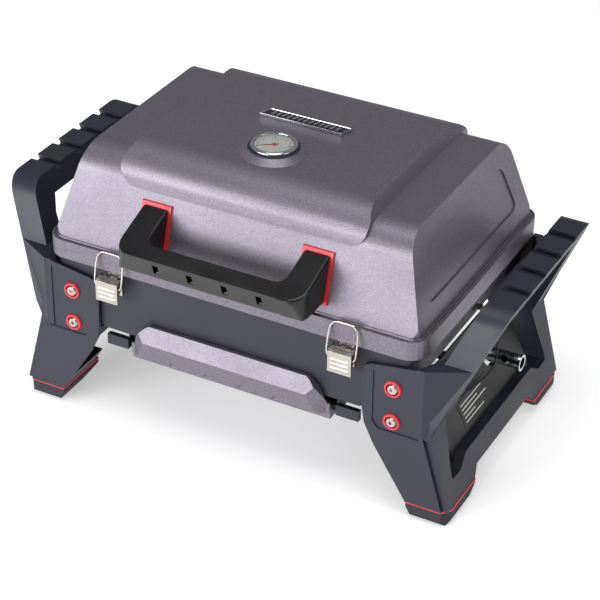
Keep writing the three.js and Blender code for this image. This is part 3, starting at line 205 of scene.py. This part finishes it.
def metallic_powder_coat():
    # Baked powder with aluminium flake: satin grey, fine bright and dark specks, a soft orange peel.
    # The real flake is 0.1 mm; it is drawn near 0.7 mm so that it shows.
    material, tree, shader, where = start("metallic_powder_coat", {"Metallic": 0.62})
    flake = add(tree, "ShaderNodeTexVoronoi", {"Scale": 1000 / 0.7}, {"Vector": where})
    cloud = add(tree, "ShaderNodeTexNoise", {"Scale": 1000 / 1.6, "Detail": 4.0}, {"Vector": where})
    drift = add(tree, "ShaderNodeTexNoise", {"Scale": 9.0, "Detail": 2.0}, {"Vector": where})
    speck = add(tree, "ShaderNodeSeparateColor", {}, {"Color": flake.outputs["Color"]})
    mixed = add(
        tree,
        "ShaderNodeMath",
        {"operation": "MULTIPLY_ADD", 1: 0.3},
        {0: speck.outputs["Red"], 2: cloud.outputs["Fac"]},
    )
    spread = add(
        tree,
        "ShaderNodeMapRange",
        {"From Min": 0.4, "From Max": 0.95},
        {"Value": mixed.outputs["Value"]},
    )
    paint = add(
        tree,
        "ShaderNodeMixRGB",
        {"Color1": linear("#645f69"), "Color2": linear("#857f8a")},
        {"Fac": spread.outputs["Result"]},
    )
    tree.links.new(paint.outputs["Color"], shader.inputs["Base Color"])
    sheen = add(
        tree,
        "ShaderNodeMapRange",
        {"From Min": 0.3, "From Max": 0.7, "To Min": 0.4, "To Max": 0.48},
        {"Value": drift.outputs["Fac"]},
    )
    tree.links.new(sheen.outputs["Result"], shader.inputs["Roughness"])
    peel = add(
        tree,
        "ShaderNodeBump",
        {"Strength": 0.14, "Distance": 0.0002},
        {"Height": mixed.outputs["Value"]},
    )
    tree.links.new(peel.outputs["Normal"], shader.inputs["Normal"])
    return material


def cast_finish(name, dark, light, rough, grain, depth):
    # Paint or plastic with a fine all-over grain: broken highlights and slightly paler high spots.
    material, tree, shader, where = start(name, {"IOR": 1.5})
    pits = add(tree, "ShaderNodeTexNoise", {"Scale": 1000 / grain, "Detail": 5.0}, {"Vector": where})
    drift = add(tree, "ShaderNodeTexNoise", {"Scale": 14.0, "Detail": 3.0}, {"Vector": where})
    tone = add(
        tree,
        "ShaderNodeMath",
        {"operation": "MULTIPLY_ADD", 1: 0.5},
        {0: drift.outputs["Fac"], 2: pits.outputs["Fac"]},
    )
    spread = add(
        tree,
        "ShaderNodeMapRange",
        {"From Min": 0.5, "From Max": 1.0},
        {"Value": tone.outputs["Value"]},
    )
    tone_mix = add(
        tree,
        "ShaderNodeMixRGB",
        {"Color1": linear(dark), "Color2": linear(light)},
        {"Fac": spread.outputs["Result"]},
    )
    tree.links.new(tone_mix.outputs["Color"], shader.inputs["Base Color"])
    sheen = add(
        tree,
        "ShaderNodeMapRange",
        {"From Min": 0.3, "From Max": 0.7, "To Min": rough - 0.06, "To Max": rough + 0.06},
        {"Value": drift.outputs["Fac"]},
    )
    tree.links.new(sheen.outputs["Result"], shader.inputs["Roughness"])
    bump = add(
        tree,
        "ShaderNodeBump",
        {"Strength": depth, "Distance": 0.0003},
        {"Height": pits.outputs["Fac"]},
    )
    tree.links.new(bump.outputs["Normal"], shader.inputs["Normal"])
    return material


def plated_metal(name, dull, bright, rough, line, stretch):
    # Polished or rolled metal: faint drawn lines along X and a little variation in gloss.
    material, tree, shader, where = start(name, {"Metallic": 1.0})
    lie = add(tree, "ShaderNodeMapping", {"Scale": (1 / stretch, 1, 1)}, {"Vector": where})
    lines = add(
        tree,
        "ShaderNodeTexNoise",
        {"Scale": 1000 / line, "Detail": 3.0},
        {"Vector": lie.outputs["Vector"]},
    )
    plate = add(
        tree,
        "ShaderNodeMixRGB",
        {"Color1": linear(dull), "Color2": linear(bright)},
        {"Fac": lines.outputs["Fac"]},
    )
    tree.links.new(plate.outputs["Color"], shader.inputs["Base Color"])
    sheen = add(
        tree,
        "ShaderNodeMapRange",
        {"From Min": 0.3, "From Max": 0.7, "To Min": rough * 0.75, "To Max": rough * 1.3},
        {"Value": lines.outputs["Fac"]},
    )
    tree.links.new(sheen.outputs["Result"], shader.inputs["Roughness"])
    bump = add(
        tree,
        "ShaderNodeBump",
        {"Strength": 0.08, "Distance": 0.0001},
        {"Height": lines.outputs["Fac"]},
    )
    tree.links.new(bump.outputs["Normal"], shader.inputs["Normal"])
    return material


def gauge_glass():
    # Flat float glass over the dial: clear, with the faintest smear in its gloss.
    material, tree, shader, where = start(
        "gauge_glass", {"Transmission Weight": 1.0, "IOR": 1.5, "Base Color": linear("#f7fafa")}
    )
    smear = add(tree, "ShaderNodeTexNoise", {"Scale": 60.0, "Detail": 3.0}, {"Vector": where})
    gloss = add(
        tree, "ShaderNodeMapRange", {"To Min": 0.01, "To Max": 0.06}, {"Value": smear.outputs["Fac"]}
    )
    tree.links.new(gloss.outputs["Result"], shader.inputs["Roughness"])
    return material


def make_finishes():
    return {
        "lid_paint": metallic_powder_coat(),
        # High-heat paint on a die casting: nearly matt, slightly pebbled.
        "firebox_paint": cast_finish("high_heat_paint", "#141522", "#1d1f2f", 0.5, 0.9, 0.3),
        # Glass-filled nylon from a spark-textured mould: even fine grain and a low sheen.
        "frame_plastic": cast_finish("spark_textured_nylon", "#171826", "#222434", 0.5, 0.7, 0.22),
        # Phenolic handle moulding: near black with a satin skin.
        "handle_plastic": cast_finish("satin_phenolic", "#060507", "#0d0c0e", 0.3, 0.6, 0.1),
        # Coloured polypropylene trim: saturated and slightly waxy.
        "red_plastic": cast_finish("red_polypropylene", "#c8222c", "#d93640", 0.42, 1.4, 0.1),
        # Moulded nitrile rubber: dull, with dusty high spots.
        "rubber": cast_finish("moulded_rubber", "#1a1a24", "#282832", 0.74, 0.9, 0.3),
        # Porcelain enamel fired on steel: black, glassy, very slightly wavy.
        "enamel": cast_finish("black_porcelain_enamel", "#07070a", "#0d0d12", 0.42, 4.0, 0.05),
        # Screen-printed steel dial: matt off-white.
        "dial": cast_finish("printed_dial", "#d9d7ce", "#e8e6de", 0.5, 1.0, 0.03),
        # Alumina insulator, painted a glossy brown-black so that it sits in with the shade round it:
        # painted shade.
        "ceramic": cast_finish("ceramic_darkened_as_painted_shade", "#4a3d32", "#5e5044", 0.22, 3.0, 0.04),
        # Silicone sleeve on the ignition lead: soft black sheen.
        "cable": cast_finish("silicone_sleeve", "#0d0d10", "#18181c", 0.45, 1.0, 0.1),
        # Lacquered badge face: deep gloss black.
        "badge": cast_finish("badge_lacquer", "#0c0c0e", "#161619", 0.24, 3.0, 0.04),
        # Bright nickel plate on pressed latch parts: warm, softly polished.
        "nickel": plated_metal("bright_nickel_plate", "#aaa49c", "#cbc5bd", 0.27, 1.6, 6),
        # Chrome plate on the gauge rim and inlet tube: cool mirror with faint polishing lines.
        "chrome": plated_metal("chrome_plate", "#b4b6bb", "#d6d8dc", 0.1, 1.8, 4),
        # Zinc-plated rolled steel of the hinges, screws, burner and rails: greyer, drawn along X.
        "steel": plated_metal("rolled_zinc_steel", "#a9a7a3", "#cbc8c2", 0.34, 1.2, 12),
    }


# ---------------------------------------------------------------- making and finishing pieces
def clear_selection():
    if bpy.context.object and bpy.context.object.mode != "OBJECT":
        bpy.ops.object.mode_set(mode="OBJECT")
    bpy.ops.object.select_all(action="DESELECT")


def take(piece):
    clear_selection()
    piece.select_set(True)
    bpy.context.view_layer.objects.active = piece


def paint(piece, slot):
    piece.data.materials.clear()
    piece.data.materials.append(finishes[slot])


def apply_modifier(piece, kind, settings):
    take(piece)
    modifier = piece.modifiers.new(kind.lower(), kind)
    for name, value in settings.items():
        setattr(modifier, name, value)
    bpy.ops.object.modifier_apply(modifier=modifier.name)


def settle(piece, slot, body, *nodes):
    """Bakes a piece's place into its mesh, gives it its finish and fixes it to its body."""
    take(piece)
    bpy.ops.object.transform_apply(location=True, rotation=True, scale=True)
    paint(piece, slot)
    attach(piece, body)
    if nodes:
        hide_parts(*nodes)
    return piece


def body_of(node):
    groups = frame["record"]["behaviour"]["bodies"]
    return next(body for body, members in groups.items() if node in members)


def slot_of(node):
    return next(s["material_slot"] for s in frame["record"]["subparts"] if s["node"] == node)


def working_copy(node, name=None):
    """A merged copy of a CAD piece, ready to be worked on."""
    piece = bpy.data.objects.new(name or node + "_finished", frame["nodes"][node].data.copy())
    scene.collection.objects.link(piece)
    take(piece)
    bpy.ops.object.mode_set(mode="EDIT")
    bpy.ops.mesh.select_all(action="SELECT")
    bpy.ops.mesh.remove_doubles(threshold=2e-6)
    bpy.ops.mesh.dissolve_limited(angle_limit=math.radians(0.6))
    bpy.ops.object.mode_set(mode="OBJECT")
    return piece


def ease_edges(piece, width, segments=2, angle=24, clamp=True):
    """Rounds the edges as a mould or a press leaves them, and keeps the faces between them flat."""
    apply_modifier(
        piece,
        "BEVEL",
        {
            "width": width * MM,
            "segments": segments,
            "limit_method": "ANGLE",
            "angle_limit": math.radians(angle),
            "use_clamp_overlap": clamp,
        },
    )
    smooth(piece)


def smooth(piece, angle=30):
    take(piece)
    bpy.ops.object.shade_smooth_by_angle(angle=math.radians(angle))
    apply_modifier(piece, "WEIGHTED_NORMAL", {"keep_sharp": True})


def finish_node(node, width):
    piece = working_copy(node)
    ease_edges(piece, width)
    return settle(piece, slot_of(node), body_of(node), node)


def pick(piece, kind, wanted):
    """Enters edit mode with only the wanted points, edges or faces selected."""
    take(piece)
    bpy.ops.object.mode_set(mode="EDIT")
    bpy.ops.mesh.select_mode(type=kind)
    bpy.ops.mesh.select_all(action="DESELECT")
    bpy.ops.object.mode_set(mode="OBJECT")
    mesh = piece.data
    members = {"VERT": mesh.vertices, "EDGE": mesh.edges, "FACE": mesh.polygons}
    for member in members[kind]:
        member.select = wanted(member)
    bpy.ops.object.mode_set(mode="EDIT")


def bar(name, place, size, turn=(0, 0, 0)):
    """A starting block of a size, in millimetres, at a place in metres."""
    clear_selection()
    bpy.ops.mesh.primitive_cube_add(size=1, location=place, rotation=turn)
    piece = bpy.context.object
    piece.name = name
    piece.scale = [length * MM for length in size]
    take(piece)
    bpy.ops.object.transform_apply(location=False, rotation=False, scale=True)
    return piece


def merge(name, pieces):
    take(pieces[0])
    for piece in pieces[1:]:
        piece.select_set(True)
    if len(pieces) > 1:
        bpy.ops.object.join()
    pieces[0].name = name
    return pieces[0]


def cut_with(piece, cutter):
    apply_modifier(
        piece, "BOOLEAN", {"operation": "DIFFERENCE", "object": cutter, "solver": "EXACT"}
    )
    bpy.data.objects.remove(cutter)


# ---------------------------------------------------------------- the pieces
def dress_cad_nodes():
    for name, node in frame["nodes"].items():
        node.data.materials.clear()
        node.data.materials.append(finishes[slot_of(name)])


def finish_wires():
    for side in SIDES:
        node = "latch_bail_" + side
        piece = working_copy(node)
        apply_modifier(piece, "SUBSURF", {"levels": 1, "render_levels": 1})
        bpy.ops.object.shade_smooth_by_angle(angle=math.radians(50))
        settle(piece, slot_of(node), body_of(node), node)


def recess_stamp():
    """The tool that sinks an end wall's panel: narrower at its top, with round corners."""
    stamp = bar("recess_stamp", (0, 0, 0), PANEL_STAMP)
    pick(stamp, "VERT", lambda v: v.co.z > 0)
    bpy.ops.transform.resize(value=(1, PANEL_TOP_SHARE, 1))
    points = stamp.data.vertices

    def crosses(edge):
        first, last = (points[i].co for i in edge.vertices)
        return abs(first.x - last.x) > 1 * MM

    pick(stamp, "EDGE", crosses)
    bpy.ops.mesh.bevel(offset=PANEL_CORNER * MM, segments=5, affect="EDGES")
    bpy.ops.object.mode_set(mode="OBJECT")
    return stamp


def press_lid():
    """The lid with a sunk panel pressed in each end wall and a groove round the dome's foot."""
    piece = working_copy("lid_shell")
    low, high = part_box("lid_shell")
    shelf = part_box("firebox")[1].z + SHELF_RISE * MM
    pick(piece, "FACE", lambda f: f.normal.z > 0.9 and abs(f.center.z - shelf) < 0.4 * MM)
    bpy.ops.mesh.inset(thickness=GROOVE_MARGIN * MM)
    bpy.ops.mesh.inset(thickness=GROOVE_WALL * MM, depth=-GROOVE_DEPTH * MM)
    bpy.ops.object.mode_set(mode="OBJECT")
    middle_y = (low.y + high.y) / 2
    lean = math.atan(END_WALL_SLOPE)
    height = shelf + PANEL_RISE * MM
    wall_x = high.x - END_WALL_SET * MM - (height - shelf) * END_WALL_SLOPE
    for sign in SIDES.values():
        stamp = recess_stamp()
        stamp.location = (sign * wall_x, middle_y, height)
        stamp.rotation_euler = (0, -sign * lean, 0)
        cut_with(piece, stamp)
    ease_edges(piece, 1.2, angle=13)
    smooth(piece, 12.5)
    settle(piece, "lid_paint", "lid", "lid_shell")


def mould_handle():
    """The lid handle with soft edges and four crisp slots in the front of its grip."""
    piece = working_copy("lid_handle")
    ease_edges(piece, 3.0, 3, clamp=False)
    low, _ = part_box("lid_handle")
    for step in (-1.5, -0.5, 0.5, 1.5):
        place = (step * SLOT_PITCH * MM, low.y + SLOT_SET * MM, low.z + SLOT_RISE * MM)
        cut_with(piece, bar("slot_cutter", place, SLOT_CUTTER, (math.radians(SLOT_TILT), 0, 0)))
    smooth(piece)
    settle(piece, "handle_plastic", "lid", "lid_handle")


def build_badge():
    """A plain dark plate with a silver edge and slanted silver bars."""
    low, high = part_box("badge_plate")
    edge = working_copy("badge_plate", "badge_edge")
    pick(edge, "FACE", lambda f: f.normal.z > 0.9)
    bpy.ops.mesh.inset(thickness=1.3 * MM)
    bpy.ops.mesh.inset(thickness=0.3 * MM, depth=-1.2 * MM)
    bpy.ops.object.mode_set(mode="OBJECT")
    ease_edges(edge, 0.3)
    settle(edge, "chrome", "lid", "badge_plate")
    middle = (low + high) / 2
    face = bar("badge_face", (0, 0, 0), BADGE_FACE)
    pick(face, "VERT", lambda v: v.co.y > 0)
    bpy.ops.transform.translate(value=(BADGE_SHIFT * MM, 0, 0))
    bpy.ops.object.mode_set(mode="OBJECT")
    face.location = (middle.x - BADGE_SHIFT / 2 * MM, middle.y, high.z - 1.1 * MM)
    ease_edges(face, 0.3)
    settle(face, "badge", "lid")
    bars = []
    for step in range(-6, 7):
        turn = (0, 0, math.radians(BADGE_BAR_TURN))
        place = (middle.x + step * BADGE_BAR_PITCH * MM, middle.y, high.z - 0.45 * MM)
        bars.append(bar("badge_bar", place, BADGE_BAR, turn))
    stripes = merge("badge_bars", bars)
    ease_edges(stripes, 0.15, 1)
    settle(stripes, "chrome", "lid")


def seat_gauge():
    """The black gasket between the gauge's rim and the boss that it stands on."""
    low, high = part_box("thermometer_bezel")
    centre = (low + high) / 2
    clear_selection()
    bpy.ops.mesh.primitive_circle_add(
        vertices=96, radius=GASKET_RADIUS * MM, location=(centre.x, centre.y, low.z + 0.1 * MM)
    )
    ring = bpy.context.object
    ring.name = "gauge_gasket"
    take(ring)
    bpy.ops.object.mode_set(mode="EDIT")
    bpy.ops.mesh.select_all(action="SELECT")
    bpy.ops.mesh.extrude_edges_move()
    bpy.ops.transform.resize(value=(GASKET_SPREAD, GASKET_SPREAD, 1))
    bpy.ops.object.mode_set(mode="OBJECT")
    apply_modifier(ring, "SOLIDIFY", {"thickness": GASKET_THICKNESS * MM, "offset": 0})
    ease_edges(ring, 0.15)
    settle(ring, "rubber", "lid")


def mark_dial():
    """Printed marks round the gauge's dial."""
    low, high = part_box("thermometer_dial")
    centre = (low + high) / 2
    marks = []
    for step in range(MARK_COUNT):
        angle = math.radians(MARK_START - step * MARK_STEP)
        long = step % 5 == 0
        reach = (LONG_MARK_REACH if long else SHORT_MARK_REACH) * MM
        place = (
            centre.x + reach * math.cos(angle),
            centre.y + reach * math.sin(angle),
            high.z + 0.08 * MM,
        )
        size = LONG_MARK if long else SHORT_MARK
        marks.append(bar("dial_mark", place, size, (0, 0, angle)))
    piece = merge("dial_marks", marks)
    ease_edges(piece, 0.03, 1)
    settle(piece, "badge", "lid")


def stick_label():
    """A plain rating label on the right shield: a dark film with blank printed bars."""
    low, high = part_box("side_shield_right")
    lean = math.atan(SHIELD_SLOPE)
    height = LABEL_RISE * MM
    outer_x = low.x + 2 * MM + (high.z - height) * SHIELD_SLOPE
    out = Vector((math.cos(lean), 0, math.sin(lean)))
    turn = (0, -lean, 0)
    middle_y = (low.y + high.y) / 2 - LABEL_FORWARD * MM
    place = Vector((outer_x, 0, height)) + out * 0.35 * MM
    film = bar("label_film", (place.x, middle_y, place.z), LABEL_FILM, turn)
    ease_edges(film, 0.1, 1)
    settle(film, "enamel", BASE)
    lines = []
    up = Vector((-math.sin(lean), 0, math.cos(lean)))
    for row, (width, offset) in enumerate(LABEL_LINES):
        spot = place + up * (LABEL_LINE_TOP - row * LABEL_LINE_PITCH) * MM + out * 0.22 * MM
        lines.append(
            bar("label_line", (spot.x, middle_y + offset * MM, spot.z), (0.16, width, 1.5), turn)
        )
    ink = merge("label_lines", lines)
    ease_edges(ink, 0.04, 1)
    settle(ink, "dial", BASE)


def run_lead():
    """The ignition lead, from the electrode round the inlet tube to the igniter."""
    route = [
        (246.3, 48.56, 184), (255, 48.56, 183), (264, 47.56, 173), (269, 46.56, 152),
        (271, 44.56, 134), (271, 41.56, 119), (269, 35.56, 108), (266, 25.56, 102),
        (264, 8.56, 102), (263, -11.44, 104.5), (262, -36.44, 110), (261, -61.54, 112),
        (259, -83.54, 114), (254, -100.54, 116), (242, -108.54, 117), (228, -111.54, 118),
        (221, -115.54, 118), (220, -120.54, 118),
    ]
    line = bpy.data.curves.new("igniter_lead_line", "CURVE")
    line.dimensions = "3D"
    spline = line.splines.new("BEZIER")
    spline.bezier_points.add(len(route) - 1)
    for point, place in zip(spline.bezier_points, route):
        point.co = Vector(place) * MM
        point.handle_left_type = point.handle_right_type = "AUTO"
    line.bevel_depth = 1.25 * MM
    line.bevel_resolution = 4
    line.resolution_u = 8
    piece = bpy.data.objects.new("igniter_lead_sleeve", line)
    scene.collection.objects.link(piece)
    settle(piece, "cable", BASE, "igniter_lead")


def lay_floor():
    bpy.ops.mesh.primitive_plane_add(size=12, location=(0, 0, 0))
    floor = bpy.context.object
    floor.name = "floor"
    paper = start(
        "matt_paper_sweep",
        {
            "Base Color": linear("#f6f6f6"),
            "Roughness": 0.9,
            "Emission Color": (1, 1, 1, 1),
            "Emission Strength": 0.42,
        },
    )[0]
    floor.data.materials.append(paper)


# ---------------------------------------------------------------- the grill, piece by piece
aim_camera()
light_studio()
finishes = make_finishes()
finishes["tray_paint"] = finishes["lid_paint"]
finishes["clear_glass"] = gauge_glass()
dress_cad_nodes()
run_lead()
press_lid()
mould_handle()
build_badge()
seat_gauge()
mark_dial()
stick_label()
finish_wires()
for stem, width in EDGE_WIDTHS.items():
    for node in frame["nodes"]:
        if node == stem or node.startswith(stem + "_"):
            finish_node(node, width)
lay_floor()
